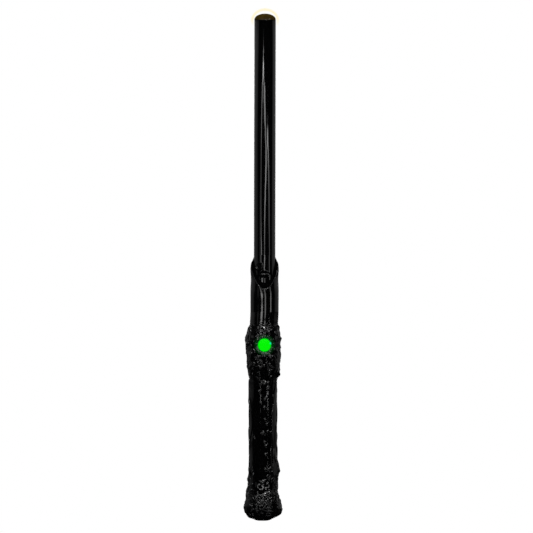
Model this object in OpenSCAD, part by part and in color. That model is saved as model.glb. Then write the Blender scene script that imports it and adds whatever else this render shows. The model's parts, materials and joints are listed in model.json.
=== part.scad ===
// Light-up magic wand. A glossy barrel with a glowing tip stands in a gnarled two-shell handle,
// which holds a lit push button, its circuit board and three button cells under a screwed cover.
// Z runs from the pommel to the tip, and the button faces -Y. The origin is on the wand's axis,
// in the middle of the grip, where the hand closes round it. Lengths are in millimetres, and a
// height is measured up from the pommel's end.

/* [Wand] */
// Length from the pommel's end to the tip
wand_length = 355; // [345:1:375]
// Height of the middle of the grip
hand_height = 70; // [66:1:74]

/* [Barrel] */
// Outer diameter of the straight barrel
barrel_d = 15; // [14.8:0.1:15.2]
// Bore of the barrel
barrel_bore = 11; // [10.8:0.1:11.2]
// Height of the domed tip lens above the barrel's end
tip_dome = 4.2; // [3:0.1:5]

/* [Handle] */
// Outer diameter of the smooth neck
neck_d = 19.9; // [19.6:0.1:20.4]
// Outer diameter of the grip
grip_d = 20.1; // [19.8:0.1:20.6]
// Outer diameter of the gnarled boss, under its bumps
boss_d = 24; // [23.6:0.1:24.8]
// Outer diameter of the pommel, under its bumps
pommel_d = 26.2; // [25.4:0.1:27]
// Height at which the front of the scooped collar starts
scoop_height = 162; // [160:0.5:164]
// Height of the two ears of the collar
ear_height = 185; // [183:0.5:187]
// Number of bumps on the boss
boss_bumps = 46; // [30:1:50]
// Number of bumps on the pommel
pommel_bumps = 40; // [24:1:44]

/* [Button] */
// Diameter of the button's cap
button_d = 9.4; // [9:0.1:9.6]
// Height of the button's centre
button_height = 123; // [122:0.5:124]
// How far the button travels inward
button_travel = 1; // [0.6:0.1:1]

/* [Batteries] */
// Diameter of a button cell
cell_d = 11.6; // [11.4:0.1:11.6]
// Thickness of a button cell
cell_t = 5.4; // [5.2:0.1:5.4]

/* [Hidden] */
$fn = 64;

// Barrel and tip
barrel_r = barrel_d / 2;
bore_r = barrel_bore / 2;
tip_height = wand_length - tip_dome;
root_r = barrel_r + 0.3;
root_bottom = 149;
root_taper_start = 172;
flange_r = root_r + 0.8;
flange_bottom = 152;
flange_t = 2;
knot_height = 177.7;
knot_angle = -29.5;
knot_r = 3.2;
lens_spigot = 6;
led_base = tip_height - 13;
lead_bottom = led_base - 10.8;

// Handle shells
grip_r = grip_d / 2;
neck_r = neck_d / 2;
boss_r = boss_d / 2;
pommel_r = pommel_d / 2;
grip_cavity_r = 7.7;
boss_cavity_r = 9.2;
neck_cavity_r = 7.4;
socket_gap = 0.1;
boss_bottom = 100;
boss_top = 137;
golden_angle = 137.508;
handle_profile = [
    [0, 0], [5, 0], [9.2, 1.6], [pommel_r - 1.4, 4.4], [pommel_r - 0.3, 7], [pommel_r, 10],
    [pommel_r - 0.5, 14], [11.4, 19], [10.7, 25], [10.5, 32], [grip_r + 0.1, 39],
    [grip_r - 0.1, 46], [grip_r, 58], [grip_r, 84], [grip_r - 0.1, 88], [grip_r, 98],
    [grip_r + 0.5, boss_bottom], [boss_r - 0.6, 104], [boss_r - 0.1, 110], [boss_r, 116],
    [boss_r, 126], [boss_r - 0.4, 131], [boss_r - 1.2, 134.5], [neck_r + 0.2, boss_top],
    [neck_r, 139], [neck_r, scoop_height], [neck_r - 0.3, 169], [neck_r, 177.5],
    [neck_r - 0.5, 180.5], [neck_r - 1.9, 183], [barrel_r + 0.2, ear_height + 0.5]
];

// Screws through the shells: heights, and the radii of post, head, shank and hole
shell_screw_heights = [22, 90, 144];
post_r = 2.9;
head_r = 2.1;
shank_r = 1.13;
pilot_r = 1.16;
clear_r = 1.3;
counterbore_r = 2.4;
head_seat_y = 5.6;
head_t = 1.4;
shell_screw_l = 10;

// Button, membrane and board
button_r = button_d / 2;
button_hole_r = button_r + 0.2;
button_seat_y = -9.4;
button_flange_r = button_r + 1;
button_flange_t = 0.8;
button_top_y = -13.7;
button_skirt_r = button_r - 1;
button_wall = 1.4;
rim_r = 6.7;
rim_y = -12.6;
board_front_y = -5.4;
board_t = 1.2;
board_back_y = board_front_y + board_t;
board_w = 13.4;
board_bottom = 103;
board_top = 134;
board_screw_heights = [105.4, 131.6];
led_gap = 1.27;

// Battery bay
cell_count = 3;
cell_r = cell_d / 2;
cell_y = 1.4;
trough_r = cell_r + 0.15;
bay_bottom = 53;
bay_top = 75;
cradle_bottom = 46.4;
cradle_top = 81.6;
cradle_floor_y = -6;
cradle_top_y = 5;
cradle_r = grip_cavity_r - 0.1;
plate_t = 0.4;
tab_x = 1.8;
cover_w = 13.8;
cover_bottom = 44.4;
cover_top = 83.6;
cover_gap = 0.2;
cover_corner = 2;
ledge_r = 8.6;
slot_w = 12.4;
slot_bottom = cradle_bottom - 0.3;
slot_top = cradle_top + 0.3;
cover_screw_heights = [48.9, 79.1];
cover_boss_r = 2.4;
cover_screw_r = 1;
cover_head_r = 1.9;
cover_head_seat_y = 7.9;
cover_screw_l = 5.6;
retainer_t = 0.5;
retainer_y = cradle_top_y + 0.1;

// Wires
wire_r = 0.45;
tip_wire_path = [
    [led_gap, 0, lead_bottom], [1.8, 0.6, 315], [3, 1.2, 290], [3.6, 0.6, 250], [3.2, 1.4, 210],
    [3.9, 1.8, 175], [4.4, 2, 158], [4.9, 1.8, 148], [5, 0.8, 142], [4.6, -1, 137],
    [3.9, -2.8, 133], [3.4, -3.7, 129], [3.3, -3.75, 126]
];
red_battery_path = [
    [tab_x, -6.9, 53.2], [tab_x, -6.9, 60], [tab_x, -6.9, 74], [tab_x + 0.4, -6.75, 82],
    [3.6, -5.6, 86], [4.8, -4.2, 89.5], [4.9, -3.2, 94], [4.3, -3, 100], [3.8, -3.5, 105],
    [3.7, -3.75, 109]
];
black_battery_path = [
    [-tab_x, -6.9, 74.8], [-tab_x, -6.9, 78], [-tab_x - 0.4, -6.75, 82], [-3.6, -5.6, 86],
    [-4.8, -4.2, 89.5], [-4.9, -3.2, 94], [-4.3, -3, 100], [-3.8, -3.5, 105],
    [-3.7, -3.75, 109]
];

function to_z(h) = h - hand_height;
function profile_radius(h) = lookup(h, [for (p = handle_profile) [p[1], p[0]]]);
function mirrored_x(path) = [for (p = path) [-p[0], p[1], p[2]]];
function at_heights(path) = [for (p = path) [p[0], p[1], to_z(p[2])]];
function unit(v) = v / norm(v);

module raise(h) {
    translate([0, 0, to_z(h)]) children();
}

// A round bar along Y, from y0 to y1
module bar_y(x, h, y0, y1, r) {
    translate([x, y0, to_z(h)]) rotate([-90, 0, 0]) cylinder(r = r, h = y1 - y0);
}

// A block given by its lowest and highest corners, with heights for Z
module block(low, high) {
    translate([low[0], low[1], to_z(low[2])]) cube(high - low);
}

// A round tube swept along a path. side is a direction that the path never runs along
module sweep(path, r, sides, side) {
    last = len(path) - 1;
    tangents = [for (i = [0:last]) unit(path[min(i + 1, last)] - path[max(i - 1, 0)])];
    across = [for (t = tangents) unit(cross(side, t))];
    rings = [
        for (i = [0:last]) for (k = [0:sides - 1])
            path[i] + r * cos(360 * k / sides) * across[i]
                + r * sin(360 * k / sides) * cross(tangents[i], across[i])
    ];
    walls = [
        for (i = [0:last - 1]) for (k = [0:sides - 1])
            let (n = (k + 1) % sides)
            each [
                [i * sides + k, (i + 1) * sides + k, (i + 1) * sides + n],
                [i * sides + k, (i + 1) * sides + n, i * sides + n]
            ]
    ];
    caps = [
        [for (k = [0:sides - 1]) k],
        [for (k = [sides - 1:-1:0]) last * sides + k]
    ];
    polyhedron(rings, concat(walls, caps), convexity = 6);
}

// A slab along Y with four rounded corners, centred on x = 0
module rounded_slab(w, bottom, top, y0, y1, corner) {
    x = w / 2 - corner;
    block([-w / 2, y0, bottom + corner], [w / 2, y1, top - corner]);
    block([-x, y0, bottom], [x, y1, top]);
    for (side = [-1, 1], h = [bottom + corner, top - corner])
        bar_y(side * x, h, y0, y1, corner);
}

// A pan-head screw along Y whose head sits on the plane y = seat
module pan_screw(h, seat, head_radius, head_height, shank_radius, length, direction = 1) {
    slot = head_radius * 1.15;
    translate([0, seat, to_z(h)]) rotate([-90 * direction, 0, 0]) {
        difference() {
            intersection() {
                cylinder(r = head_radius, h = head_height);
                translate([0, 0, head_height - head_radius * 2]) sphere(r = head_radius * 2);
            }
            for (turn = [0, 90]) rotate(turn)
                translate([-slot / 2, -0.25, head_height / 2]) cube([slot, 0.5, head_height]);
        }
        translate([0, 0, -length + shank_radius]) cylinder(r = shank_radius, h = length - shank_radius);
        translate([0, 0, -length]) cylinder(r1 = 0.2, r2 = shank_radius, h = shank_radius);
    }
}

// ---- barrel and tip ----

module barrel_tube() {
    color("#101012") {
        difference() {
            union() {
                raise(0) rotate_extrude() polygon([
                    [bore_r, root_bottom], [root_r, root_bottom], [root_r, root_taper_start],
                    [barrel_r, ear_height + 1], [barrel_r, tip_height], [bore_r, tip_height]
                ]);
                raise(flange_bottom) difference() {
                    cylinder(r = flange_r, h = flange_t);
                    translate([0, 0, -1]) cylinder(r = bore_r, h = flange_t + 2);
                }
                knot();
            }
            knot_dish();
        }
    }
}

// The round knot on the barrel's root, left of the scoop's middle
module knot_axis() {
    raise(knot_height) rotate([0, 0, knot_angle]) rotate([90, 0, 0]) children();
}

module knot() {
    knot_axis() translate([0, 0, bore_r + 0.8]) cylinder(r = knot_r, h = root_r - bore_r + 0.1);
}

module knot_dish() {
    knot_axis() translate([0, 0, root_r + 1.9]) sphere(r = knot_r - 0.4);
}

module tip_lens() {
    color("#3a2a10") difference() {
        union() {
            raise(tip_height) rotate_extrude() polygon(concat(
                [[0, 0], [barrel_r, 0]],
                [for (a = [9:9:81]) [barrel_r * cos(a), tip_dome * sin(a)]],
                [[0, tip_dome]]
            ));
            raise(tip_height - lens_spigot) cylinder(r = bore_r - 0.05, h = lens_spigot);
        }
        raise(tip_height - lens_spigot - 1) cylinder(r = 4, h = lens_spigot + 1);
        raise(tip_height) intersection() {
            cylinder(r = 4, h = tip_dome);
            translate([0, 0, -3.6]) sphere(r = 5.4);
        }
    }
}

module tip_led() {
    color("#f2ead0") {
        raise(led_base) cylinder(r = 2.9, h = 1);
        raise(led_base + 1) cylinder(r = 2.5, h = 5.1);
        raise(led_base + 6.1) intersection() {
            sphere(r = 2.5);
            cylinder(r = 3, h = 3);
        }
    }
}

module tip_led_leads() {
    color("silver") for (side = [-1, 1])
        translate([side * led_gap, 0, to_z(lead_bottom)])
            cylinder(r = 0.25, h = led_base - lead_bottom);
}

module tip_led_bush() {
    color("#2a2a2c") difference() {
        raise(led_base - 1.5) cylinder(r = bore_r - 0.05, h = 7);
        raise(led_base - 0.05) cylinder(r = 2.95, h = 1.1);
        raise(led_base + 1) cylinder(r = 2.6, h = 6);
        raise(led_base - 2) cylinder(r = 2.2, h = 3);
    }
}

module lead_sleeves() {
    color("#151515") for (side = [-1, 1])
        translate([side * led_gap, 0, to_z(lead_bottom)]) difference() {
            cylinder(r = 0.7, h = led_base - lead_bottom - 1.6);
            translate([0, 0, -1]) cylinder(r = 0.3, h = 30);
        }
}

module tip_wire_red() {
    color("firebrick") sweep(at_heights(tip_wire_path), wire_r, 8, [0, 1, 0]);
}

module tip_wire_black() {
    color("#181818") sweep(at_heights(mirrored_x(tip_wire_path)), wire_r, 8, [0, 1, 0]);
}

// ---- handle shells ----

// One bump at a place on the handle, kept off the button and its rim
module bump(angle, h, r, stand_out) {
    reach = profile_radius(h) + stand_out - r;
    from_button = norm([reach * sin(angle), h - button_height]);
    if (from_button > rim_r + r - 0.6 || cos(angle) < 0)
        translate([reach * sin(angle), -reach * cos(angle), to_z(h)]) sphere(r = r);
}

// Bumps spread evenly round a band of the handle by the golden angle
module bumps(count, bottom, top) {
    for (i = [0:count - 1])
        bump(i * golden_angle, bottom + (i + 0.5) / count * (top - bottom),
            2.6 + 0.9 * pow(sin(i * 71), 2), 0.35 + 0.4 * pow(sin(i * 43), 2));
}

module handle_outside() {
    raise(0) rotate_extrude()
        polygon(concat(handle_profile, [[0, handle_profile[len(handle_profile) - 1][1]]]));
    bumps(boss_bumps, boss_bottom + 3, boss_top - 2.5);
    bumps(pommel_bumps, 5.5, 35);
}

module handle_cavity() {
    raise(0) rotate_extrude() polygon([
        [0, 4], [7, 4], [9, 7], [9, 13], [grip_cavity_r, 19], [grip_cavity_r, boss_bottom + 1],
        [boss_cavity_r, boss_bottom + 2.7], [boss_cavity_r, boss_top - 3.3],
        [neck_cavity_r, boss_top - 0.5], [neck_cavity_r, root_bottom - 0.1],
        [root_r + socket_gap, root_bottom - 0.1], [root_r + socket_gap, flange_bottom - 0.1],
        [flange_r + socket_gap, flange_bottom - 0.1],
        [flange_r + socket_gap, flange_bottom + flange_t + 0.1],
        [root_r + socket_gap, flange_bottom + flange_t + 0.1],
        [root_r + socket_gap, root_taper_start], [barrel_r + socket_gap, ear_height + 1],
        [barrel_r + socket_gap, ear_height + 5], [0, ear_height + 5]
    ]);
}

// Everything beyond the sloping cut that leaves the collar's two ears. side is -1 for the front
module scoop(side) {
    slope = atan2(neck_r, ear_height - scoop_height);
    translate([0, side * neck_r, to_z(scoop_height)]) rotate([side * slope, 0, 0])
        translate([-20, side > 0 ? 0 : -30, -2]) cube([40, 30, 60]);
}

module half_space(side) {
    translate([-30, side > 0 ? 0 : -60, -hand_height - 10]) cube([60, 60, wand_length]);
}

module shell_half(side) {
    difference() {
        intersection() {
            handle_outside();
            half_space(side);
        }
        handle_cavity();
        scoop(side);
    }
}

module front_shell() {
    color("#0c0c0e") difference() {
        union() {
            shell_half(-1);
            for (h = shell_screw_heights) bar_y(0, h, -8, -0.1, post_r);
            for (h = board_screw_heights) bar_y(0, h, -10, board_front_y, 2.1);
            bar_y(0, button_height, rim_y, button_seat_y, rim_r);
        }
        for (h = shell_screw_heights) bar_y(0, h, -6, 1, pilot_r);
        for (h = board_screw_heights) bar_y(0, h, -9, 0, 0.8);
        bar_y(0, button_height, -20, 0, button_hole_r);
        bar_y(0, button_height, button_seat_y, -6, button_flange_r + 0.2);
    }
}

// The outline of the battery cover, grown by a gap, between two depths
module cover_outline(gap, y0, y1) {
    rounded_slab(cover_w + 2 * gap, cover_bottom - gap, cover_top + gap, y0, y1, cover_corner);
}

module back_shell() {
    color("#0c0c0e") difference() {
        union() {
            shell_half(1);
            for (h = shell_screw_heights) bar_y(0, h, 0.1, 8, post_r);
        }
        for (h = shell_screw_heights) {
            bar_y(0, h, -1, 20, clear_r);
            bar_y(0, h, head_seat_y, 20, counterbore_r);
        }
        difference() {
            cover_outline(cover_gap, 2, 14);
            raise(0) cylinder(r = ledge_r, h = wand_length);
        }
        rounded_slab(slot_w, slot_bottom, slot_top, 2, 14, cover_corner);
    }
}

// ---- button and its board ----

module button_cap() {
    dome_r = (button_r * button_r + 1) / 2;
    color("#18e018") difference() {
        union() {
            intersection() {
                bar_y(0, button_height, button_top_y, button_seat_y + 0.5, button_r);
                translate([0, button_top_y + dome_r, to_z(button_height)]) sphere(r = dome_r);
            }
            bar_y(0, button_height, button_seat_y + 0.05,
                button_seat_y + 0.05 + button_flange_t, button_flange_r);
        }
        bar_y(0, button_height, button_top_y + button_wall, 0, button_skirt_r);
    }
}

// The silicone spring under the cap: a foot on the board, a thin cone and a ring at the top
module button_membrane() {
    foot_r = button_flange_r + 0.1;
    height = board_front_y - (button_seat_y + 0.1 + button_flange_t);
    color("#cfd3d6") translate([0, board_front_y, to_z(button_height)]) rotate([90, 0, 0])
        rotate_extrude() polygon([
            [foot_r - 0.9, 0], [foot_r, 0], [foot_r, 0.7], [foot_r - 0.4, 0.8],
            [5.1, height], [3.1, height], [3.1, height - 0.9], [4.4, height - 0.9]
        ]);
}

module contact_ring() {
    height = board_front_y - (button_seat_y + 0.1 + button_flange_t);
    color("#1c1c1c") translate([0, board_front_y, to_z(button_height)]) rotate([90, 0, 0])
        translate([0, 0, height - 1.2]) difference() {
            cylinder(r = 4.2, h = 0.3);
            translate([0, 0, -1]) cylinder(r = 3.1, h = 3);
        }
}

module button_led() {
    color("#40ff60") translate([0, board_front_y, to_z(button_height)]) rotate([90, 0, 0]) {
        cylinder(r = 1.9, h = 0.8);
        translate([0, 0, 0.8]) cylinder(r = 1.5, h = 2.2);
        translate([0, 0, 3]) intersection() {
            sphere(r = 1.5);
            cylinder(r = 2, h = 2);
        }
        for (side = [-1, 1]) translate([side * led_gap, 0, -board_t - 1]) cylinder(r = 0.25, h = board_t + 1);
    }
}

module circuit_board() {
    color("#1f6b3a") difference() {
        block([-board_w / 2, board_front_y, board_bottom], [board_w / 2, board_back_y, board_top]);
        for (h = board_screw_heights) bar_y(0, h, board_front_y - 1, board_back_y + 1, 1);
        for (side = [-1, 1])
            bar_y(side * led_gap, button_height, board_front_y - 1, board_back_y + 1, 0.3);
    }
}

// A low round blob of epoxy over the sound and light chip
module controller_chip() {
    color("#141414") translate([0, board_back_y, to_z(114.5)]) rotate([-90, 0, 0])
        rotate_extrude() polygon([[0, 0], [4, 0], [3.7, 0.5], [2.6, 1], [0, 1.2]]);
}

module led_resistors() {
    color("#20242a") for (x = [-4.6, 4.6])
        translate([x - 0.8, board_back_y, to_z(120.5)]) cube([1.6, 0.6, 3.2]);
}

module board_capacitor() {
    color("#b98a52") bar_y(0, 127.4, board_back_y, board_back_y + 2.4, 1.5);
}

module board_screw(h) {
    color("silver") pan_screw(h, board_back_y, 1.6, 1, 0.78, 4.6);
}

module board_screw_1() { board_screw(board_screw_heights[0]); }
module board_screw_2() { board_screw(board_screw_heights[1]); }

// ---- batteries, contacts and cover ----

module battery_cradle() {
    color("#1b1b1e") difference() {
        intersection() {
            block([-cradle_r, cradle_floor_y, cradle_bottom], [cradle_r, cradle_top_y, cradle_top]);
            raise(0) cylinder(r = cradle_r, h = wand_length);
        }
        raise(bay_bottom) translate([0, cell_y, 0]) cylinder(r = trough_r, h = bay_top - bay_bottom);
        block([-trough_r, cell_y, bay_bottom], [trough_r, cradle_top_y + 1, bay_top]);
        for (h = cover_screw_heights) bar_y(0, h, -2, cradle_top_y + 1, cover_screw_r + 0.05);
        for (tab = [[tab_x, bay_bottom], [-tab_x, bay_top - 0.8]])
            block([tab[0] - 1.1, cradle_floor_y - 1, tab[1]], [tab[0] + 1.1, 0, tab[1] + 0.8]);
    }
}

module button_cell(i) {
    bottom = bay_bottom + plate_t + i * cell_t;
    color("#c9ccd0") translate([0, cell_y, to_z(bottom)]) rotate_extrude() polygon([
        [0, 0], [cell_r - 0.3, 0], [cell_r, 0.3], [cell_r, cell_t - 1], [cell_r - 0.3, cell_t - 0.7],
        [cell_r - 0.8, cell_t - 0.7], [cell_r - 1, cell_t - 0.2], [cell_r - 1.2, cell_t], [0, cell_t]
    ]);
}

module button_cell_1() { button_cell(0); }
module button_cell_2() { button_cell(1); }
module button_cell_3() { button_cell(2); }

// A cone of wire that presses the stack down, from its plate to the top cell
module cell_spring() {
    turns = 3;
    wire = 0.3;
    bottom = bay_bottom + plate_t + cell_count * cell_t + wire;
    top = bay_top - plate_t - wire;
    steps = turns * 16;
    color("silver") translate([0, cell_y, 0]) sweep([
        for (i = [0:steps]) let (a = 360 * turns * i / steps, r = 2.2 + 2 * i / steps)
            [r * cos(a), r * sin(a), to_z(bottom + (top - bottom) * i / steps)]
    ], wire, 8, [0, 0, 1]);
}

// A contact: a square plate across the bay, and a solder tab through the cradle's floor
module contact(bottom, side) {
    color("#d8c37a") {
        block([-4, -2.2, bottom], [4, 5, bottom + plate_t]);
        block([side * tab_x - 0.9, -6.45, bottom], [side * tab_x + 0.9, -2.2, bottom + plate_t]);
    }
}

module contact_plate() { contact(bay_bottom, 1); }
module spring_plate() { contact(bay_top - plate_t, -1); }

module battery_wire_red() {
    color("firebrick") sweep(at_heights(red_battery_path), wire_r, 8, [0, 1, 0]);
}

module battery_wire_black() {
    color("#181818") sweep(at_heights(black_battery_path), wire_r, 8, [0, 1, 0]);
}

module battery_cover() {
    color("#0c0c0e") difference() {
        union() {
            difference() {
                intersection() {
                    handle_outside();
                    cover_outline(0, 3, 14);
                }
                raise(0) cylinder(r = ledge_r + 0.15, h = wand_length);
            }
            for (h = cover_screw_heights)
                bar_y(0, h, retainer_y + retainer_t, ledge_r + 0.5, cover_boss_r);
            block([-3, cell_y + cell_r + 0.3, bay_bottom + 3], [3, ledge_r + 0.4, bay_top - 5]);
        }
        for (h = cover_screw_heights) {
            bar_y(0, h, 0, 14, cover_screw_r + 0.15);
            bar_y(0, h, cover_head_seat_y, 14, cover_head_r + 0.25);
        }
    }
}

module cover_screw(h) {
    color("silver") pan_screw(h, cover_head_seat_y, cover_head_r, 1.2, cover_screw_r, cover_screw_l);
}

module cover_screw_1() { cover_screw(cover_screw_heights[0]); }
module cover_screw_2() { cover_screw(cover_screw_heights[1]); }

// The soft washer that keeps a cover screw from dropping out
module screw_retainer(h) {
    color("#b03024") difference() {
        bar_y(0, h, retainer_y, retainer_y + retainer_t, cover_boss_r - 0.3);
        bar_y(0, h, retainer_y - 1, retainer_y + 2, cover_screw_r + 0.02);
    }
}

module screw_retainer_1() { screw_retainer(cover_screw_heights[0]); }
module screw_retainer_2() { screw_retainer(cover_screw_heights[1]); }

module shell_screw(h) {
    color("silver") pan_screw(h, head_seat_y, head_r, head_t, shank_r, shell_screw_l);
}

module shell_screw_1() { shell_screw(shell_screw_heights[0]); }
module shell_screw_2() { shell_screw(shell_screw_heights[1]); }
module shell_screw_3() { shell_screw(shell_screw_heights[2]); }

barrel_tube();
tip_lens();
tip_led();
tip_led_leads();
tip_led_bush();
lead_sleeves();
tip_wire_red();
tip_wire_black();
front_shell();
back_shell();
button_cap();
button_membrane();
contact_ring();
button_led();
circuit_board();
controller_chip();
led_resistors();
board_capacitor();
board_screw_1();
board_screw_2();
battery_cradle();
button_cell_1();
button_cell_2();
button_cell_3();
cell_spring();
spring_plate();
contact_plate();
battery_wire_red();
battery_wire_black();
battery_cover();
cover_screw_1();
cover_screw_2();
screw_retainer_1();
screw_retainer_2();
shell_screw_1();
shell_screw_2();
shell_screw_3();
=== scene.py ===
import json
import math
from functools import cached_property

import bmesh
import bpy
import numpy as np
from mathutils import Matrix, Vector

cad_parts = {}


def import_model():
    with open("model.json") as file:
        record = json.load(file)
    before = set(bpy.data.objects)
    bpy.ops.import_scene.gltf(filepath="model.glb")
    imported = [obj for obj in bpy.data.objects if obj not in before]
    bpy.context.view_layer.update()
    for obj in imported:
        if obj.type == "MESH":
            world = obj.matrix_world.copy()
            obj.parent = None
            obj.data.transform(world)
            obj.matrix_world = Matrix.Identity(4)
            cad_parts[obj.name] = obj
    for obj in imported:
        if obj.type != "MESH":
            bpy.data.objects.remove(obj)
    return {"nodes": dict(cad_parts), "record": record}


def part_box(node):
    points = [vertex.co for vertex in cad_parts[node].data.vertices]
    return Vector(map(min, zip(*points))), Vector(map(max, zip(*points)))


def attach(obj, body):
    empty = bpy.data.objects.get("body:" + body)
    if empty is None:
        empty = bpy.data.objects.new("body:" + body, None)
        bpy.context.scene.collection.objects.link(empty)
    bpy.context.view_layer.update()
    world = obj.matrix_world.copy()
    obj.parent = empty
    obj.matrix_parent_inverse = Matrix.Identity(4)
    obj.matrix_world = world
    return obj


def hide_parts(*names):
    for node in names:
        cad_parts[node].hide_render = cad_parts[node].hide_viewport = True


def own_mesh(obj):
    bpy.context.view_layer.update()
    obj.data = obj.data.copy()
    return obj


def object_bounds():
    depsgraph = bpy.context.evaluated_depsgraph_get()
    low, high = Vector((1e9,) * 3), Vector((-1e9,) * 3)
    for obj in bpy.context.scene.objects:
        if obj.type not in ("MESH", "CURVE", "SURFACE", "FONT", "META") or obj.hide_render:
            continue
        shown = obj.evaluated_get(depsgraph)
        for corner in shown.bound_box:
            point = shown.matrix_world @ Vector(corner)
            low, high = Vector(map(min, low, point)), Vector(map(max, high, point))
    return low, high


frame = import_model()
CAD_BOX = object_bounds()

# The shapes below are worked out in millimetres. x points right, y away from the viewer, and a
# height h is measured up from the pommel's end. theta runs round the wand's axis from the front,
# which is -Y, towards the right.
MM = 0.001
BASE_Z = CAD_BOX[0].z


def node_box(node):
    """The lowest and highest corner of a CAD node as (x, y, h), in millimetres."""
    low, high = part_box(node)
    return [
        np.array([corner.x, corner.y, corner.z - BASE_Z]) / MM for corner in (low, high)
    ]


def middle(node):
    low, high = node_box(node)
    return (low + high) / 2


# ---------------------------------------------------------------- sizes from the frame

LENGTH = (CAD_BOX[1].z - BASE_Z) / MM
BARREL_BOTTOM, BARREL_TOP = (corner[2] for corner in node_box("barrel_tube"))
BARREL_R = node_box("tip_lens")[1][0]
ROOT_R = BARREL_R + 0.3
ROOT_TAPER = 172
BORE_R = node_box("tip_led_bush")[1][0] + 0.05
FLANGE_R = ROOT_R + 0.8
FLANGE_BOTTOM = BARREL_BOTTOM + 3
FLANGE_TOP = FLANGE_BOTTOM + 2

EAR_H = node_box("front_shell")[1][2]
SCOOP_H = EAR_H - 23
NECK_R = 9.93
COLLAR_START = BARREL_BOTTOM + 1

BUTTON_LOW, BUTTON_HIGH = node_box("button_cap")
BUTTON_H = middle("button_cap")[2]
FLANGE_OF_BUTTON_R = BUTTON_HIGH[0]
BUTTON_R = FLANGE_OF_BUTTON_R - 1
BUTTON_HOLE_R = BUTTON_R + 0.2
BUTTON_SEAT_Y = BUTTON_HIGH[1] - 0.85

COVER_LOW, COVER_HIGH = node_box("battery_cover")
COVER_GAP = 0.2
COVER_CORNER = 2
LEDGE_R = 8.6
GRIP_CAVITY_R = 7.7
CRADLE_LOW, CRADLE_HIGH = node_box("battery_cradle")
SHELL_SCREWS = [middle(f"shell_screw_{i}")[2] for i in (1, 2, 3)]
COVER_SCREWS = [middle(f"cover_screw_{i}")[2] for i in (1, 2)]
BOARD_SCREWS = [middle(f"board_screw_{i}")[2] for i in (1, 2)]
BOARD_FRONT_Y = node_box("circuit_board")[0][1]
POST_R = 2.9
SCREW_HOLE_R = 2.4
KNOT_H, KNOT_THETA, KNOT_R = 177.7, math.radians(-29.5), 3.2

# ---------------------------------------------------------------- meshes


def add_object(name, points, faces):
    """A mesh object from (x, y, h) points in millimetres."""
    points = np.array(points, float) * MM
    points[:, 2] += BASE_Z
    mesh = bpy.data.meshes.new(name)
    mesh.from_pydata(points.tolist(), [], faces)
    mesh.update()
    made = bpy.data.objects.new(name, mesh)
    bpy.context.scene.collection.objects.link(made)
    return made


def grid_faces(rows, columns, closed=False):
    """Quads that face outward on a grid whose rows go up and whose columns go round."""
    faces = []
    for i in range(rows - 1):
        for j in range(columns - (0 if closed else 1)):
            k = (j + 1) % columns
            faces.append(
                (i * columns + j, i * columns + k, (i + 1) * columns + k, (i + 1) * columns + j)
            )
    return faces


def turned(radius, theta):
    """x and y at a radius and an angle."""
    return radius * np.sin(theta), -radius * np.cos(theta)


def lathe(name, outline, sides=64, along_y=False, centre=(0, 0)):
    """A solid turned from a closed outline of (radius, height), which may start and end on the
    axis. along_y turns it about the Y axis at centre, with the outline's heights as y."""
    closes = outline[0][0] > 0 and outline[-1][0] > 0
    theta = np.arange(sides) * 2 * math.pi / sides
    points, faces, rings = [], [], []
    for radius, height in outline:
        if radius < 1e-6:
            rings.append([len(points)] * sides)
            points.append((0, 0, height))
        else:
            rings.append(list(range(len(points), len(points) + sides)))
            points += [(radius * math.sin(t), -radius * math.cos(t), height) for t in theta]
    if closes:
        rings.append(rings[0])
    for lower, upper in zip(rings[:-1], rings[1:]):
        for j in range(sides):
            k = (j + 1) % sides
            corners = tuple(dict.fromkeys((lower[j], lower[k], upper[k], upper[j])))
            if len(corners) > 2:
                faces.append(corners)
    points = np.array(points, float)
    if along_y:
        points = np.stack(
            [points[:, 0] + centre[0], points[:, 2], centre[1] - points[:, 1]], axis=1
        )
    made = add_object(name, points, faces)
    face_outward(made)
    return made


def face_outward(made):
    """Turns every face of a closed mesh to look out."""
    work = bmesh.new()
    work.from_mesh(made.data)
    bmesh.ops.recalc_face_normals(work, faces=work.faces)
    work.to_mesh(made.data)
    work.free()


def rod_y(x, h, y0, y1, radius, sides=48):
    """A round bar along Y."""
    return lathe("rod", [(0, y0), (radius, y0), (radius, y1), (0, y1)], sides, True, (x, h))


def rod_up(radius, bottom, top, sides=96):
    """A round bar up the wand's axis."""
    return lathe("rod", [(0, bottom), (radius, bottom), (radius, top), (0, top)], sides)


def rounded_slab(half_width, bottom, top, y0, y1, corner, steps=8):
    """A slab along Y whose outline in x and h has rounded corners."""
    outline = []
    for turn in range(4):
        cx = (half_width - corner) * (1 if turn in (0, 3) else -1)
        ch = top - corner if turn < 2 else bottom + corner
        for step in range(steps + 1):
            angle = math.radians(90 * turn + 90 * step / steps)
            outline.append((cx + corner * math.cos(angle), ch + corner * math.sin(angle)))
    count = len(outline)
    points = [(x, y, h) for y in (y0, y1) for x, h in outline]
    faces = [tuple(range(count)), tuple(range(2 * count - 1, count - 1, -1))]
    faces += [(i, i + count, (i + 1) % count + count, (i + 1) % count) for i in range(count)]
    made = add_object("slab", points, faces)
    face_outward(made)
    return made


def combine(target, others, operation):
    """Adds others to target, cuts them out of it or keeps what they share, and removes them."""
    for other in others:
        change = target.modifiers.new("combine", "BOOLEAN")
        change.operation = operation
        change.solver = "MANIFOLD"
        change.object = other
    graph = bpy.context.evaluated_depsgraph_get()
    graph.update()
    result = bpy.data.meshes.new_from_object(target.evaluated_get(graph))
    target.modifiers.clear()
    old = target.data
    target.data = result
    bpy.data.meshes.remove(old)
    for other in others:
        mesh = other.data
        bpy.data.objects.remove(other)
        bpy.data.meshes.remove(mesh)
    return target


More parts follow.
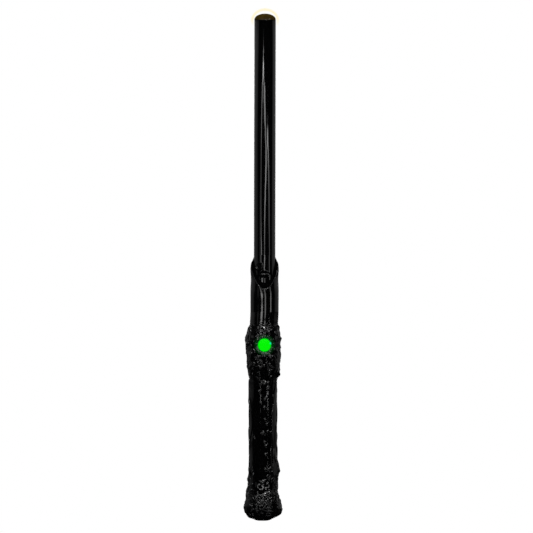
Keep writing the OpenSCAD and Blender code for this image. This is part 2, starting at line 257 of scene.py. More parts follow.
def smooth_shading(made, angle=35):
    """Shades a mesh smoothly, but for edges sharper than angle."""
    made.data.shade_smooth()
    made.data.set_sharp_from_angle(angle=math.radians(angle))


# ---------------------------------------------------------------- the handle's outline

# (radius, height) up the side of the handle, under its relief
GRIP_R = 9.95
OUTLINE = [
    (0.4, 0), (3.2, 0.1), (6.6, 1.1), (10.2, 3.6), (12.3, 6.4), (13, 9.6), (12.6, 13), (11.7, 17),
    (10.7, 22), (10.2, 27), (10.2, 33), (10.08, 40), (9.97, 47),
    *((GRIP_R, height) for height in (52, 60, 72, 84, 92, 95.5, 98.2)),
    (10.3, 101.5), (11, 105), (11.4, 110), (11.75, 115), (11.9, 121), (11.95, 126), (11.6, 130),
    (11, 133), (10.35, 135.2), (9.98, 136.8),
    *((NECK_R, height) for height in (138.6, 142, COLLAR_START, SCOOP_H)),
    (9.68, 170), (NECK_R, 177.6), (9.5, 180.4), (8.3, 182.8), (7.75, EAR_H),
]


def smooth_curve(points):
    """Points along a smooth curve through the given ones."""
    points, steps = np.array(points, float), 24
    chord = np.linalg.norm(np.diff(points, axis=0), axis=1)
    at = np.concatenate([[0], np.cumsum(chord)])
    slope = np.gradient(points, at, axis=0)
    fine = np.concatenate([np.linspace(a, b, steps, endpoint=False) for a, b in zip(at, at[1:])])
    i = np.clip(np.searchsorted(at, fine, side="right") - 1, 0, len(chord) - 1)
    w, d = ((fine - at[i]) / chord[i])[:, None], chord[i][:, None]
    curve = (
        (2 * w**3 - 3 * w**2 + 1) * points[i]
        + (w**3 - 2 * w**2 + w) * d * slope[i]
        + (3 * w**2 - 2 * w**3) * points[i + 1]
        + (w**3 - w**2) * d * slope[i + 1]
    )
    return np.vstack([curve, points[-1]])


CURVE = smooth_curve(OUTLINE)
ALONG = np.concatenate([[0], np.cumsum(np.linalg.norm(np.diff(CURVE, axis=0), axis=1))])
TANGENT = np.gradient(CURVE, ALONG, axis=0)
TANGENT /= np.linalg.norm(TANGENT, axis=1)[:, None]


def radius_at(height):
    return np.interp(height, CURVE[:, 1], CURVE[:, 0])


def along_at(height):
    """The distance along the outline, from the pommel's end, of a height."""
    return np.interp(height, CURVE[:, 1], ALONG)


# How far round from the middle of the back the battery cover's edges are
COVER_TURN = math.asin(COVER_HIGH[0] / radius_at(60))


def sway(height):
    """How far the handle's outside leans to the left of the barrel's axis."""
    return np.interp(
        height,
        [0, 5, 10, 18, 24, 32, 40, 60, 92, 108, 124, 134, 146],
        [-1.1, -0.8, -0.8, -1.1, -1.2, -0.8, -0.9, -1, -1, -0.9, -1, -0.6, 0],
    )


# ---------------------------------------------------------------- relief

STAMPS = []


def stamp(theta, height, reach, shape, adds=False):
    """Keeps a piece of relief: shape(a, b) gives its rise at a round and b along from its place."""
    STAMPS.append((theta, float(along_at(height)), reach, shape, adds))


def theta_of(x, height):
    """Where the front of the handle has this x."""
    reach = radius_at(height)
    return math.asin(max(-0.999, min(0.999, (x - sway(height)) / reach)))


def blob(theta, height, length, width, tilt, rise):
    """A rounded bump, length and width from its middle, tilted from upright."""
    c, s = math.cos(math.radians(tilt)), math.sin(math.radians(tilt))

    def shape(a, b):
        q = ((b * c + a * s) / length) ** 2 + ((a * c - b * s) / width) ** 2
        return rise * np.clip(1 - q, 0, None) ** 1.2

    stamp(theta, height, max(length, width), shape)


def ring(theta, height, radius, width, rise):
    """A raised ring with a hollow middle."""

    def shape(a, b):
        q = ((np.sqrt(a * a + b * b) - radius) / width) ** 2
        return rise * np.clip(1 - q, 0, None) ** 1.2

    stamp(theta, height, radius + width, shape)


def stroke(theta, height, offsets, width, rise):
    """A raised worm along offsets (a, b) from its place."""
    offsets = np.array(offsets, float)

    def shape(a, b):
        nearest = np.full(np.broadcast_shapes(a.shape, b.shape), 1e9)
        for start, end in zip(offsets[:-1], offsets[1:]):
            run = end - start
            t = ((a - start[0]) * run[0] + (b - start[1]) * run[1]) / max(run @ run, 1e-9)
            t = np.clip(t, 0, 1)
            away = (a - start[0] - t * run[0]) ** 2 + (b - start[1] - t * run[1]) ** 2
            nearest = np.minimum(nearest, away)
        return rise * np.clip(1 - nearest / width**2, 0, None) ** 1.2

    stamp(theta, height, np.abs(offsets).max() + width, shape)


def swell(theta, height, around, along, rise):
    """A broad soft lump, or a hollow if rise is negative."""

    def shape(a, b):
        return rise * np.exp(-((a / around) ** 2) - (b / along) ** 2)

    stamp(theta, height, 2.4 * max(around, along), shape, adds=True)


def front_stroke(points, width, rise):
    """A worm through (x, height) points on the front."""
    places = np.array(points, float)
    centre_h = places[:, 1].mean()
    angles = np.array([theta_of(x, h) for x, h in points])
    theta = angles.mean()
    around = (angles - theta) * radius_at(centre_h)
    stroke(theta, centre_h, np.stack([around, places[:, 1] - centre_h], axis=1), width, rise)


# What stands out on the front, each at (x, height). Bumps have a half length and a half width,
# both before scaling, and a tilt.
FRONT_BUMPS = [
    (-5.4, 100.1, 1.1, 0.6, -65), (-3.5, 99.3, 0.9, 0.6, 20), (2.6, 96.4, 0.9, 0.8, 30),
    (3.2, 92.2, 1.1, 0.8, 10), (-3.7, 90, 1.0, 0.7, -20), (-2.6, 81.6, 1.2, 0.6, 0),
    (0.1, 79, 1.0, 0.65, 0), (2.5, 77.6, 0.8, 0.6, 0), (0.6, 70.4, 0.9, 0.5, -20),
    (2.1, 67.6, 0.9, 0.8, 0), (2.4, 62.5, 0.8, 0.5, 20), (0.4, 54.8, 0.9, 0.7, 0),
    (1.5, 52.3, 1.1, 0.7, 35), (1.2, 46.4, 0.8, 0.7, 0), (0.9, 35.7, 1.3, 0.7, 5),
    (9.8, 34.8, 1.2, 0.9, 10), (-0.7, 27.3, 1.2, 0.8, -15), (3.7, 28.9, 0.9, 0.8, 0),
    (4.5, 20.8, 1.1, 0.7, -35), (7.2, 22.4, 1.1, 1.0, 0), (-2.5, 17.3, 0.9, 0.8, 20),
    (-5, 19.6, 0.9, 0.7, 40), (-1.1, 13.4, 1.2, 0.6, 65),
    (-4.6, 12.5, 1.0, 0.7, -30), (-3, 9.5, 1.0, 0.8, 20), (1, 7.1, 1.3, 0.9, -25),
    (6.1, 6.8, 1.0, 0.8, 20), (4.3, 8.6, 0.9, 0.7, 0), (-1.7, 4.4, 0.9, 0.8, -20),
    (-3.5, 3.9, 0.9, 0.7, 60), (9.4, 8.2, 1.2, 0.8, 10), (3.2, 134.7, 0.9, 0.6, -30),
    (-2.9, 135.9, 0.9, 0.6, 20), (0, 131.1, 0.8, 0.6, 0), (-5.3, 129.6, 1.3, 0.6, 45),
    (-2, 130.1, 1.2, 0.55, 70), (8.6, 115, 1.5, 0.9, -20), (5.6, 112.6, 0.9, 0.6, 0),
    (8.5, 111.8, 0.9, 0.7, 40), (3.6, 111.8, 1.2, 0.5, 0), (3.9, 109.4, 0.9, 0.8, 0),
    (8.2, 108.6, 0.7, 0.6, 0), (3.8, 103.1, 1.3, 0.8, 40), (-3.6, 102.7, 1.0, 0.6, 0),
    (4.6, 101.1, 1.2, 0.5, 60), (-8.2, 106.5, 1.2, 0.6, 30), (0, 108.6, 0.8, 0.6, 0),
]
# Rings, with their radius
FRONT_RINGS = [
    (4.7, 35.5, 1.5), (6, 28.5, 1.2), (3.3, 31, 1.0), (6.1, 16.3, 1.1), (4, 14.2, 1.5),
    (2.8, 10, 1.4), (-10.4, 19.4, 1.1), (2.9, 4.4, 1.4), (-5.4, 114, 1.2), (-8, 109.7, 1.2),
    (8.6, 131.6, 1.6), (-8, 118.6, 1.3), (7.9, 19, 1.2), (-6.9, 16, 1.2), (9.2, 12.4, 1.3),
]
# Worms, through two points or more
FRONT_STROKES = [
    [(-5.6, 133.5), (-4.5, 133.2), (-3.5, 134), (-2.1, 134.3), (-0.3, 133)],
    [(1.4, 132.7), (2.7, 131.9), (3.5, 130.8)], [(1.1, 137.6), (1.1, 134.8)],
    [(4, 138), (4, 135.8)], [(-5.4, 132), (-4.2, 132.4), (-3.4, 132)],
    [(-7.6, 120), (-7.2, 118.6), (-8.5, 117.8), (-8.5, 116.8)], [(-6.9, 116.6), (-7.3, 115.2)],
    [(7.2, 119.7), (8.2, 119.4), (9.1, 118.5)], [(4.3, 113.8), (5.2, 114.9), (6.3, 115.7)],
    [(2, 114), (1.4, 112.4), (2.1, 111.4)], [(1.4, 110.4), (1.9, 109.2), (2.2, 107.6), (2.8, 106)],
    [(-3.3, 112.1), (-2.6, 110.9), (-1.6, 110.1)], [(-4.6, 111), (-4, 109.8)],
    [(-5.6, 108.1), (-4, 108.6), (-3.2, 107), (-2.1, 107.8)], [(7.5, 105), (8.4, 106), (9, 107.3)],
    [(3.5, 105), (4.3, 105.7), (5.2, 105.6)], [(4.6, 108.8), (5.6, 107.6), (6.3, 107.2)],
    [(-2.3, 97), (-2.1, 96), (-3.4, 94.8)], [(-0.6, 98), (1.2, 96.8), (-0.3, 95.7)],
    [(2.1, 87.2), (0.5, 84.5)], [(-1.6, 60.8), (-0.5, 62), (0.6, 60.2)],
    [(-3, 27.5), (-1.9, 26.1), (-0.7, 26.6), (0.8, 28.5)], [(-5.6, 14.6), (-4.4, 15.4)],
    [(-8.8, 6.8), (-8.4, 7.6), (-7.5, 8.3)], [(-8.8, 10.6), (-8.6, 9.4)],
    [(0.2, 12.2), (1.3, 11.2), (0.6, 9.4), (-0.9, 8.4)],
    [(2.6, 14), (4.4, 16), (6.6, 14.6), (5.2, 12.6)], [(7.8, 13.6), (9.4, 11.4)],
    [(9.2, 9.6), (10, 7.6)], [(4.6, 10.6), (5.4, 9.4), (4.8, 8.4)], [(-2, 5.8), (-1, 5)],
    [(-6, 11.4), (-5.2, 9.8), (-5.8, 8.2)], [(-3.8, 15), (-3, 13.8)],
]
# Broad lumps, as (theta in degrees, height, half width, half length, rise)
LUMPS = [
    (-72, 130, 3, 2.6, 0.5), (-88, 127, 2.4, 2.2, 0.7), (70, 104, 2.6, 2, 1.3),
    (88, 102.4, 2.4, 1.8, 1.6), (80, 135.5, 2.4, 1.6, 1.1), (86, 127.5, 2.4, 2, 0.7),
    (-86, 113, 2.6, 4, -0.4), (-88, 106.5, 3, 3.6, -1.1), (-86, 100.8, 2.4, 1.6, -0.9),
    (84, 121.5, 2.4, 2.4, 0.4), (86, 35, 2.4, 2.4, 1.5), (84, 39, 2.2, 3, 0.9),
    (-86, 29, 2.4, 1.8, 0.6), (-86, 33.4, 2.4, 1.6, -0.6), (86, 19, 2.6, 4, -0.3),
    (-84, 22.5, 2.2, 1.8, 0.5), (-84, 16, 2.6, 2.4, -0.5), (88, 12, 3, 1.8, -0.3),
    (88, 8.6, 2.6, 1.2, 0.5), (87, 131.6, 2.4, 1.8, 0.5), (88, 115, 2.4, 3.6, 0.5),
    (-88, 5.5, 2.6, 2, 0.5), (86, 5.5, 2.6, 2, 0.5), (125, 128, 3, 3, 0.6),
    (160, 118, 3, 3.5, 0.6), (-130, 122, 3, 3, 0.7), (-160, 131, 3, 2.6, 0.6),
    (-105, 107, 3, 3, 0.5), (118, 106, 3, 3.2, 0.7), (150, 12, 3, 3, 0.7), (-120, 14, 3, 3, 0.8),
    (-160, 22, 2.8, 3, 0.6), (125, 24, 2.6, 3, 0.6), (180, 9, 3, 3, 0.5), (-175, 104, 3, 2.6, 0.5),
]
# How gradually the drawn relief and the random carving meet, in square millimetres
BLEND = 0.015


def waves(seed, wavelength, stretch=(1, 1, 1)):
    """A smooth random field of (x, y, h) made of plane waves, with a spread of about 1."""
    count = 28
    source = np.random.default_rng(seed)
    ways = source.normal(size=(count, 3))
    ways *= 2 * math.pi / wavelength / np.linalg.norm(ways, axis=1)[:, None] / np.array(stretch)
    ways *= source.uniform(0.8, 1.25, (count, 1))
    phases = source.uniform(0, 2 * math.pi, count)

    def field(x, y, h):
        total = 0
        for way, phase in zip(ways, phases):
            total = total + np.cos(way[0] * x + way[1] * y + way[2] * h + phase)
        return total / math.sqrt(count / 2)

    return field


def step(value, start, end):
    """0 before start, 1 past end and smooth between."""
    t = np.clip((value - start) / (end - start), 0, 1)
    return t * t * (3 - 2 * t)


def ridges_of(value, half):
    """Rounded ridges along the lines where a field crosses zero."""
    return np.clip(1 - (value / half) ** 2, 0, None) ** 0.75


def gnarl(theta, height, radius):
    """Knotted, worm-like carving round the boss and the pommel, fainter at the front and in a calm
    patch on each, and bark round the sides and back of the grip."""
    x, y = turned(radius, theta)
    bend = waves(3, 14)(x, y, height)
    sideways = np.abs((theta + math.pi) % (2 * math.pi) - math.pi)
    worms = ridges_of(waves(11, 6.4)(x + 0.8 * bend, y, height + bend), 0.4)
    knots = np.clip(waves(12, 4.2)(x, y, height) - 0.7, 0, 1.5) ** 0.8
    swells = waves(13, 8)(x, y, height)
    at_side = step(sideways, math.radians(40), math.radians(72))
    carved = (0.14 + 0.31 * at_side) * np.maximum(worms, knots) + 0.2 * swells
    ragged = height + 1.6 * bend
    calm_boss = 1 - 0.75 * np.exp(-((x - 0.3) / 2.2) ** 2 - ((height - 105.5) / 3.6) ** 2)
    boss = step(ragged, 100.5, 104) * (1 - step(ragged, 133.5, 136.5)) * calm_boss
    front = 1 - step(sideways, math.radians(28), math.radians(46))
    pommel_top = 35 - 10 * front
    pommel = step(height, 0.8, 3) * (1 - step(ragged, pommel_top - 5, pommel_top))
    calm_pommel = np.exp(-((x - 0.3) / 4) ** 2 - ((height - 22.5) / 4.6) ** 2)
    pommel = pommel * (1 - 0.9 * np.where(y < 0, calm_pommel, 0))
    bark = ridges_of(waves(14, 5, (1, 1, 9))(x + 0.5 * bend, y, height), 0.5)
    bark = 0.42 * bark + 0.08 * waves(15, 3.2, (1, 1, 6))(x, y, height)
    grip = step(height, 24, 34) * (1 - step(height, 97, 103))
    bark_here = grip * step(sideways, math.radians(26), math.radians(42))
    return carved * np.maximum(boss, pommel) + bark * bark_here


def carve_relief():
    """Stamps the drawn relief of the front, and the broad lumps all round."""
    for x, h, length, width, tilt in FRONT_BUMPS:
        size = 1.5 if 38 < h < 101 else 1.25
        blob(theta_of(x, h), h, size * length, size * width, tilt, 0.42)
    for x, h, radius in FRONT_RINGS:
        ring(theta_of(x, h), h, radius, 0.65, 0.5)
    for points in FRONT_STROKES:
        front_stroke(points, 0.72, 0.5)
    for theta, h, around, along, rise in LUMPS:
        swell(math.radians(theta), h, around, along, rise)


def ring_the_button():
    """Stamps small uneven bumps round the button."""
    count, first_turn = 13, 8
    for k in range(count):
        turn = k * 360 / count + first_turn
        reach = 6.35 + 0.25 * math.sin(3.7 * k)
        x = reach * math.cos(math.radians(turn))
        h = BUTTON_H + reach * math.sin(math.radians(turn))
        blob(theta_of(x, h), h, 1.15, 0.6, 25 * math.sin(5.1 * k) - turn, 0.4)


carve_relief()
ring_the_button()


def relief(thetas, rows):
    """The relief over a grid, for angles and for distances along the outline."""
    raised = np.zeros((len(rows), len(thetas)))
    soft = np.zeros_like(raised)
    for theta, along, reach, shape, adds in STAMPS:
        radius = float(np.interp(along, ALONG, CURVE[:, 0]))
        i0, i1 = np.searchsorted(rows, [along - reach, along + reach])
        for turn in (-2 * math.pi, 0, 2 * math.pi):
            middle_theta, span = theta + turn, reach / radius
            j0, j1 = np.searchsorted(thetas, [middle_theta - span, middle_theta + span])
            if i1 <= i0 or j1 <= j0:
                continue
            rise = shape(
                (thetas[j0:j1] - middle_theta)[None, :] * radius, (rows[i0:i1] - along)[:, None]
            )
            if adds:
                soft[i0:i1, j0:j1] += rise
            else:
                raised[i0:i1, j0:j1] = np.maximum(raised[i0:i1, j0:j1], rise)
    radius, height = np.interp(rows, ALONG, CURVE[:, 0]), np.interp(rows, ALONG, CURVE[:, 1])
    carved = gnarl(thetas[None, :], height[:, None], radius[:, None])
    apart = raised - carved
    return soft + (raised + carved + np.sqrt(apart**2 + BLEND) - math.sqrt(BLEND)) / 2


def groove(distance, depth=0.16, width=0.28):
    """The small rounded edges on both sides of a parting line."""
    return -depth * np.exp(-((distance / width) ** 2))


def cover_distance(x, h):
    """How far a point is from the outline of the battery cover."""
    half = (COVER_HIGH[0] - COVER_CORNER, (COVER_HIGH[2] - COVER_LOW[2]) / 2 - COVER_CORNER)
    dx = np.abs(x) - half[0]
    dh = np.abs(h - (COVER_HIGH[2] + COVER_LOW[2]) / 2) - half[1]
    outside = np.hypot(np.maximum(dx, 0), np.maximum(dh, 0))
    return np.abs(outside + np.minimum(np.maximum(dx, dh), 0) - COVER_CORNER)


def seam_distance(thetas, radius):
    """How far round the surface a point is from the parting line between the shells."""
    return np.abs(np.abs((thetas + math.pi) % (2 * math.pi) - math.pi) - math.pi / 2) * radius


def calmed(rise, distance, near, far, most):
    """rise, kept under most within near of a hole and left as it is past far."""
    beside = 1 - step(distance, near, far)
    return rise * (1 - beside) + np.minimum(rise, most) * beside


def skin(thetas, rows):
    """Points (x, y, h) of the handle's outer surface over a grid of angles and rows."""
    thetas = thetas[None, :]
    radius, height = (np.interp(rows, ALONG, CURVE[:, k])[:, None] for k in (0, 1))
    tangent = np.stack([np.interp(rows, ALONG, TANGENT[:, k]) for k in (0, 1)], axis=1)
    tangent /= np.linalg.norm(tangent, axis=1)[:, None]
    rise = relief(thetas[0], rows) + groove(seam_distance(thetas, radius))
    x, y = turned(radius, thetas)
    x = x + sway(height)
    behind, far_away = y > 0, 99
    rise += np.where(behind, groove(cover_distance(x, height)), 0)
    from_button = np.where(behind, far_away, np.hypot(x, height - BUTTON_H))
    rise = calmed(rise, from_button, BUTTON_R + 0.4, BUTTON_R + 1.5, 0.1)
    rise += groove(from_button - BUTTON_HOLE_R, 0.25, 0.35)
    for screw_h in SHELL_SCREWS:
        from_screw = np.where(behind, np.hypot(x, height - screw_h), far_away)
        rise = calmed(rise, from_screw, SCREW_HOLE_R + 0.2, SCREW_HOLE_R + 1.4, 0.05)
        rise += groove(from_screw - SCREW_HOLE_R, 0.2, 0.35)
    out_r = radius + tangent[:, 1:] * rise
    out_h = height - tangent[:, :1] * rise
    x, y = turned(out_r, thetas)
    return np.stack([x + sway(out_h), y, out_h], axis=2)


def collar(thetas, steps):
    """Points of the collar, whose top follows the sloping cut that leaves two ears."""
    heights = np.arange(COLLAR_START, EAR_H + 0.01, 0.05)
    radii = radius_at(heights)
    edge_drop = 0.25  # how far the rounded rim falls back
    plane = NECK_R * (EAR_H - heights) / (EAR_H - SCOOP_H)
    tops = []
    for theta in thetas:
        beyond = (radii - edge_drop) * abs(math.cos(theta)) - plane
        beyond[-1] = max(beyond[-1], 1e-9)
        k = int(np.argmax(beyond > 0))
        share = beyond[k - 1] / (beyond[k - 1] - beyond[k])
        tops.append(heights[k - 1] + share * (heights[k] - heights[k - 1]))
    tops = np.array(tops)
    edge = np.array([0.9, 0.6, 0.38, 0.22, 0.1, 0.03, 0])
    fractions = np.linspace(0, 1, steps + 1)[1:]
    rows = [COLLAR_START + (tops - edge[0] - COLLAR_START) * f for f in fractions]
    rows += [tops - e for e in edge[1:]]
    height = np.array(rows)
    near = np.clip(1 - (tops[None, :] - height) / edge[0], 0, 1)
    radius = radius_at(height) - edge_drop * (1 - np.sqrt(np.clip(1 - near**2, 0, 1)))
    radius += groove(seam_distance(thetas[None, :], radius))
    x, y = turned(radius, thetas[None, :])
    return np.stack([x, y, height], axis=2)


def fine_steps(start, end, coarse, fine, places, reach=0.9):
    """Values from start to end, spaced finely near places and coarsely elsewhere."""
    values = [start]
    while values[-1] < end:
        near = any(abs(values[-1] - p) < reach for p in places)
        values.append(values[-1] + (fine if near else coarse))
    values = np.array(values)
    return start + (values - start) * (end - start) / (values[-1] - start)


def fine_turns(start, end, edges):
    """Angles from start to end, spaced finely near edges."""
    return fine_steps(start, end, 0.0245, 0.011, edges, 0.05)


def handle_rows():
    """Distances along the outline, close together where the relief is fine."""
    parts = [(0, 38, 0.27), (38, 99, 0.4), (99, 139, 0.27), (139, COLLAR_START, 0.6)]
    rows = []
    for bottom, top, spacing in parts:
        places = [along_at(h) for h in (COVER_LOW[2], COVER_HIGH[2])] if bottom == 38 else []
        rows.append(fine_steps(along_at(bottom), along_at(top), spacing, 0.12, places)[:-1])
    return np.concatenate(rows + [[along_at(COLLAR_START)]])


def half_handle(name, first_theta):
    """A closed half of the handle, solid inside, over 180 degrees from first_theta."""
    edges = [first_theta, first_theta + math.pi]
    if first_theta > 0:
        edges += [math.pi - COVER_TURN, math.pi + COVER_TURN]
    thetas = fine_turns(first_theta, first_theta + math.pi, edges)
    surface = np.vstack([skin(thetas, handle_rows()), collar(thetas, 48)])
    for column in (0, -1):
        surface[:, column, 1] = 0
    rows, columns = surface.shape[:2]
    faces = grid_faces(rows, columns)
    right = columns - 1
    for i in range(rows - 1):
        lower, upper = i * columns, (i + 1) * columns
        faces.append((lower + right, lower, upper, upper + right))
    faces.append(tuple(range(columns - 1, -1, -1)))
    faces.append(tuple(range((rows - 1) * columns, rows * columns)))
    return add_object(name, surface.reshape(-1, 3), faces)


def cavity():
    """The space inside both shells: pommel, grip, boss, neck and the barrel's socket."""
    root, flange = ROOT_R + 0.1, FLANGE_R + 0.1
    return lathe("cavity", [
        (0, 4), (7, 4), (9, 7), (9, 13), (GRIP_CAVITY_R, 19), (GRIP_CAVITY_R, 100.8),
        (9.2, 102.5), (9.2, 133.7), (7.4, 136.5), (7.4, BARREL_BOTTOM - 0.1),
        (root, BARREL_BOTTOM - 0.1), (root, FLANGE_BOTTOM - 0.1), (flange, FLANGE_BOTTOM - 0.1),
        (flange, FLANGE_TOP + 0.1), (root, FLANGE_TOP + 0.1), (root, ROOT_TAPER),
        (BARREL_R + 0.1, EAR_H + 1), (BARREL_R + 0.1, EAR_H + 5), (0, EAR_H + 5),
    ], 96)


def front_shell():
    """The front half: its skin, the screw posts and pilot holes, and the button's stepped hole."""
    shell = half_handle("handle_front", -math.pi / 2)
    combine(shell, [cavity()], "DIFFERENCE")
    pilot_r, board_post_r, board_pilot_r = 1.16, 2.1, 0.8
    posts = [rod_y(0, h, -8.6, -0.1, POST_R) for h in SHELL_SCREWS]
    posts += [rod_y(0, h, -10, BOARD_FRONT_Y, board_post_r) for h in BOARD_SCREWS]
    combine(shell, posts, "UNION")
    holes = [rod_y(0, h, -6, 1, pilot_r) for h in SHELL_SCREWS]
    holes += [rod_y(0, h, -9, 0, board_pilot_r) for h in BOARD_SCREWS]
    holes.append(rod_y(0, BUTTON_H, -20, 0, BUTTON_HOLE_R, 96))
    holes.append(rod_y(0, BUTTON_H, BUTTON_SEAT_Y, -6, FLANGE_OF_BUTTON_R + 0.2, 96))
    return combine(shell, holes, "DIFFERENCE")


def cover_slab(gap, y0, y1):
    """A slab along Y with the battery cover's outline, larger by gap."""
    half = COVER_HIGH[0] + gap
    return rounded_slab(half, COVER_LOW[2] - gap, COVER_HIGH[2] + gap, y0, y1, COVER_CORNER)


def back_shell():
    """The back half: its skin, the screw posts and counterbores, the rebate that takes the battery
    cover and leaves a ledge, and the slot for the cradle."""
    shell = half_handle("handle_back", math.pi / 2)
    combine(shell, [cavity()], "DIFFERENCE")
    combine(shell, [rod_y(0, h, 0.1, 8.6, POST_R) for h in SHELL_SCREWS], "UNION")
    rebate = cover_slab(COVER_GAP, 2, 14)
    combine(rebate, [rod_up(LEDGE_R, 20, 110)], "DIFFERENCE")
    half, gap, shank_r = 6.2, 0.3, 1.3
    slot = rounded_slab(half, CRADLE_LOW[2] - gap, CRADLE_HIGH[2] + gap, 2, 14, COVER_CORNER)
    holes = [rebate, slot]
    holes += [rod_y(0, h, -1, 20, shank_r) for h in SHELL_SCREWS]
    holes += [rod_y(0, h, 5.6, 20, SCREW_HOLE_R) for h in SHELL_SCREWS]
    return combine(shell, holes, "DIFFERENCE")


def thick_sheet(name, outer, inner):
    """A closed sheet between two grids of points, one behind the other."""
    rows, columns = outer.shape[:2]
    shift = rows * columns
    faces = grid_faces(rows, columns)
    faces += [tuple(v + shift for v in reversed(face)) for face in faces]
    for i in range(rows - 1):
        left, right = i * columns, (i + 2) * columns - 1
        for low, high in ((left, left + columns), (right, right - columns)):
            faces.append((low, high, high + shift, low + shift))
    for j in range(columns - 1):
        top = (rows - 1) * columns + j
        faces.append((j + 1, j, j + shift, j + 1 + shift))
        faces.append((top, top + 1, top + 1 + shift, top + shift))
    made = add_object(name, np.vstack([outer.reshape(-1, 3), inner.reshape(-1, 3)]), faces)
    face_outward(made)
    return made


def battery_cover():
    """The cover: the same outer skin, cut to its outline, with its bosses, rib and screw holes."""
    side, beyond = 1.2 * COVER_TURN, 2
    edges = [math.pi - COVER_TURN, math.pi + COVER_TURN]
    thetas = fine_turns(math.pi - side, math.pi + side, edges)
    rows = fine_steps(
        along_at(COVER_LOW[2] - beyond), along_at(COVER_HIGH[2] + beyond), 0.35, 0.12,
        [along_at(COVER_LOW[2]), along_at(COVER_HIGH[2])],
    )
    outer = skin(thetas, rows)
    inner = outer.copy()
    inner[:, :, 0], inner[:, :, 1] = turned(LEDGE_R + 0.15, thetas[None, :])
    cover = thick_sheet("battery_door", outer, inner)
    combine(cover, [cover_slab(0, 3, 14)], "INTERSECT")
    boss_r, shank_r, head_r, head_y = 2.4, 1.15, 2.15, node_box("cover_screw_1")[1][1] - 1.2
    inside = [rod_y(0, h, COVER_LOW[1], LEDGE_R + 0.5, boss_r) for h in COVER_SCREWS]
    rib_half, rib_low, rib_high, rib_front = 3, 56, 70, 7.5
    inside.append(rounded_slab(rib_half, rib_low, rib_high, rib_front, LEDGE_R + 0.4, 0.2, 2))
    combine(cover, inside, "UNION")
    holes = [rod_y(0, h, 0, 14, shank_r) for h in COVER_SCREWS]
    holes += [rod_y(0, h, head_y, 14, head_r) for h in COVER_SCREWS]
    return combine(cover, holes, "DIFFERENCE")


# ---------------------------------------------------------------- barrel, lens and button


def barrel_radius(theta, height):
    """The barrel's outside: nearly round, with long shallow flats, the knot and a low swelling."""
    taper = np.interp(height, [BARREL_BOTTOM, ROOT_TAPER, EAR_H + 1], [ROOT_R, ROOT_R, BARREL_R])
    flats = np.sin(6 * theta + 1.1 + height / 60) + np.sin(11 * theta - height / 37)
    ripple = np.sin(height / 3.1 + 4 * theta) * np.sin(height / 7.7)
    end = np.clip((BARREL_TOP - height) / 12, 0, 1)
    radius = taper + (0.03 + 0.022 * flats - 0.006 * ripple) * end
    knot_rise, knot_edge, dish_edge = 0.95, 0.7, 0.6
    inward = KNOT_R - np.hypot((theta - KNOT_THETA) * ROOT_R, height - KNOT_H)
    radius = radius + knot_rise * step(inward, 0, knot_edge)
    floor_of_dish = (ROOT_R - 0.15) / np.cos(np.clip(theta - KNOT_THETA, -1, 1))
    radius = radius + (floor_of_dish - radius) * step(inward, knot_edge, knot_edge + dish_edge)
    patch = ((theta + 0.03) * ROOT_R / 4.2) ** 2 + ((height - 172.6) / 2.6) ** 2
    return radius + 0.3 * np.clip(1 - patch, 0, 1) ** 1.3


def barrel():
    """The tube with its knot, the flange that the shells clamp, and the bore."""
    rows = np.concatenate([
        np.arange(BARREL_BOTTOM, 166, 1.5), np.arange(166, 188, 0.3),
        np.arange(188, BARREL_TOP - 1, 1.6), BARREL_TOP - np.array([0.6, 0.35, 0.15, 0.05, 0]),
    ])
    columns = 168
    theta = np.arange(columns) * 2 * math.pi / columns
    theta = (theta + math.pi) % (2 * math.pi) - math.pi
    radius = barrel_radius(theta[None, :], rows[:, None])
    rounding, edge_drop = 0.35, 0.06
    edge = np.clip(1 - (BARREL_TOP - rows) / rounding, 0, 1)
    radius = radius - (edge_drop * (1 - np.sqrt(1 - edge**2)))[:, None]
    x, y = turned(radius, theta[None, :])
    points = np.stack([x, y, np.broadcast_to(rows[:, None], x.shape)], axis=2).reshape(-1, 3)
    faces = grid_faces(len(rows), columns, closed=True)
    faces.append(tuple(range(columns - 1, -1, -1)))
    faces.append(tuple(range((len(rows) - 1) * columns, len(rows) * columns)))
    tube = add_object("barrel", points, faces)
    combine(tube, [rod_up(FLANGE_R, FLANGE_BOTTOM, FLANGE_TOP)], "UNION")
    return combine(tube, [rod_up(BORE_R, BARREL_BOTTOM - 1, BARREL_TOP + 1, 72)], "DIFFERENCE")


def tip_lens():
    """The domed plug, hollow over the LED."""
    dome, spigot_r, spigot_bottom = LENGTH - BARREL_TOP, BORE_R - 0.05, node_box("tip_lens")[0][2]
    hollow_r, hollow_start, hollow_rise = 4, BARREL_TOP + 0.2, 1.5
    outline = [(0, LENGTH)]
    outline += [
        (BARREL_R * math.sin(a) ** 0.96, BARREL_TOP + dome * math.cos(a))
        for a in np.linspace(0.06, math.pi / 2, 24)
    ]
    outline += [(BARREL_R - 0.1, BARREL_TOP), (spigot_r, BARREL_TOP), (spigot_r, spigot_bottom)]
    outline += [(hollow_r, spigot_bottom), (hollow_r, hollow_start)]
    outline += [
        (hollow_r * math.cos(a), hollow_start + hollow_rise * math.sin(a))
        for a in np.linspace(0.2, 1.4, 6)
    ]
    outline.append((0, hollow_start + hollow_rise + 0.05))
    return lathe("lens", outline, 96)


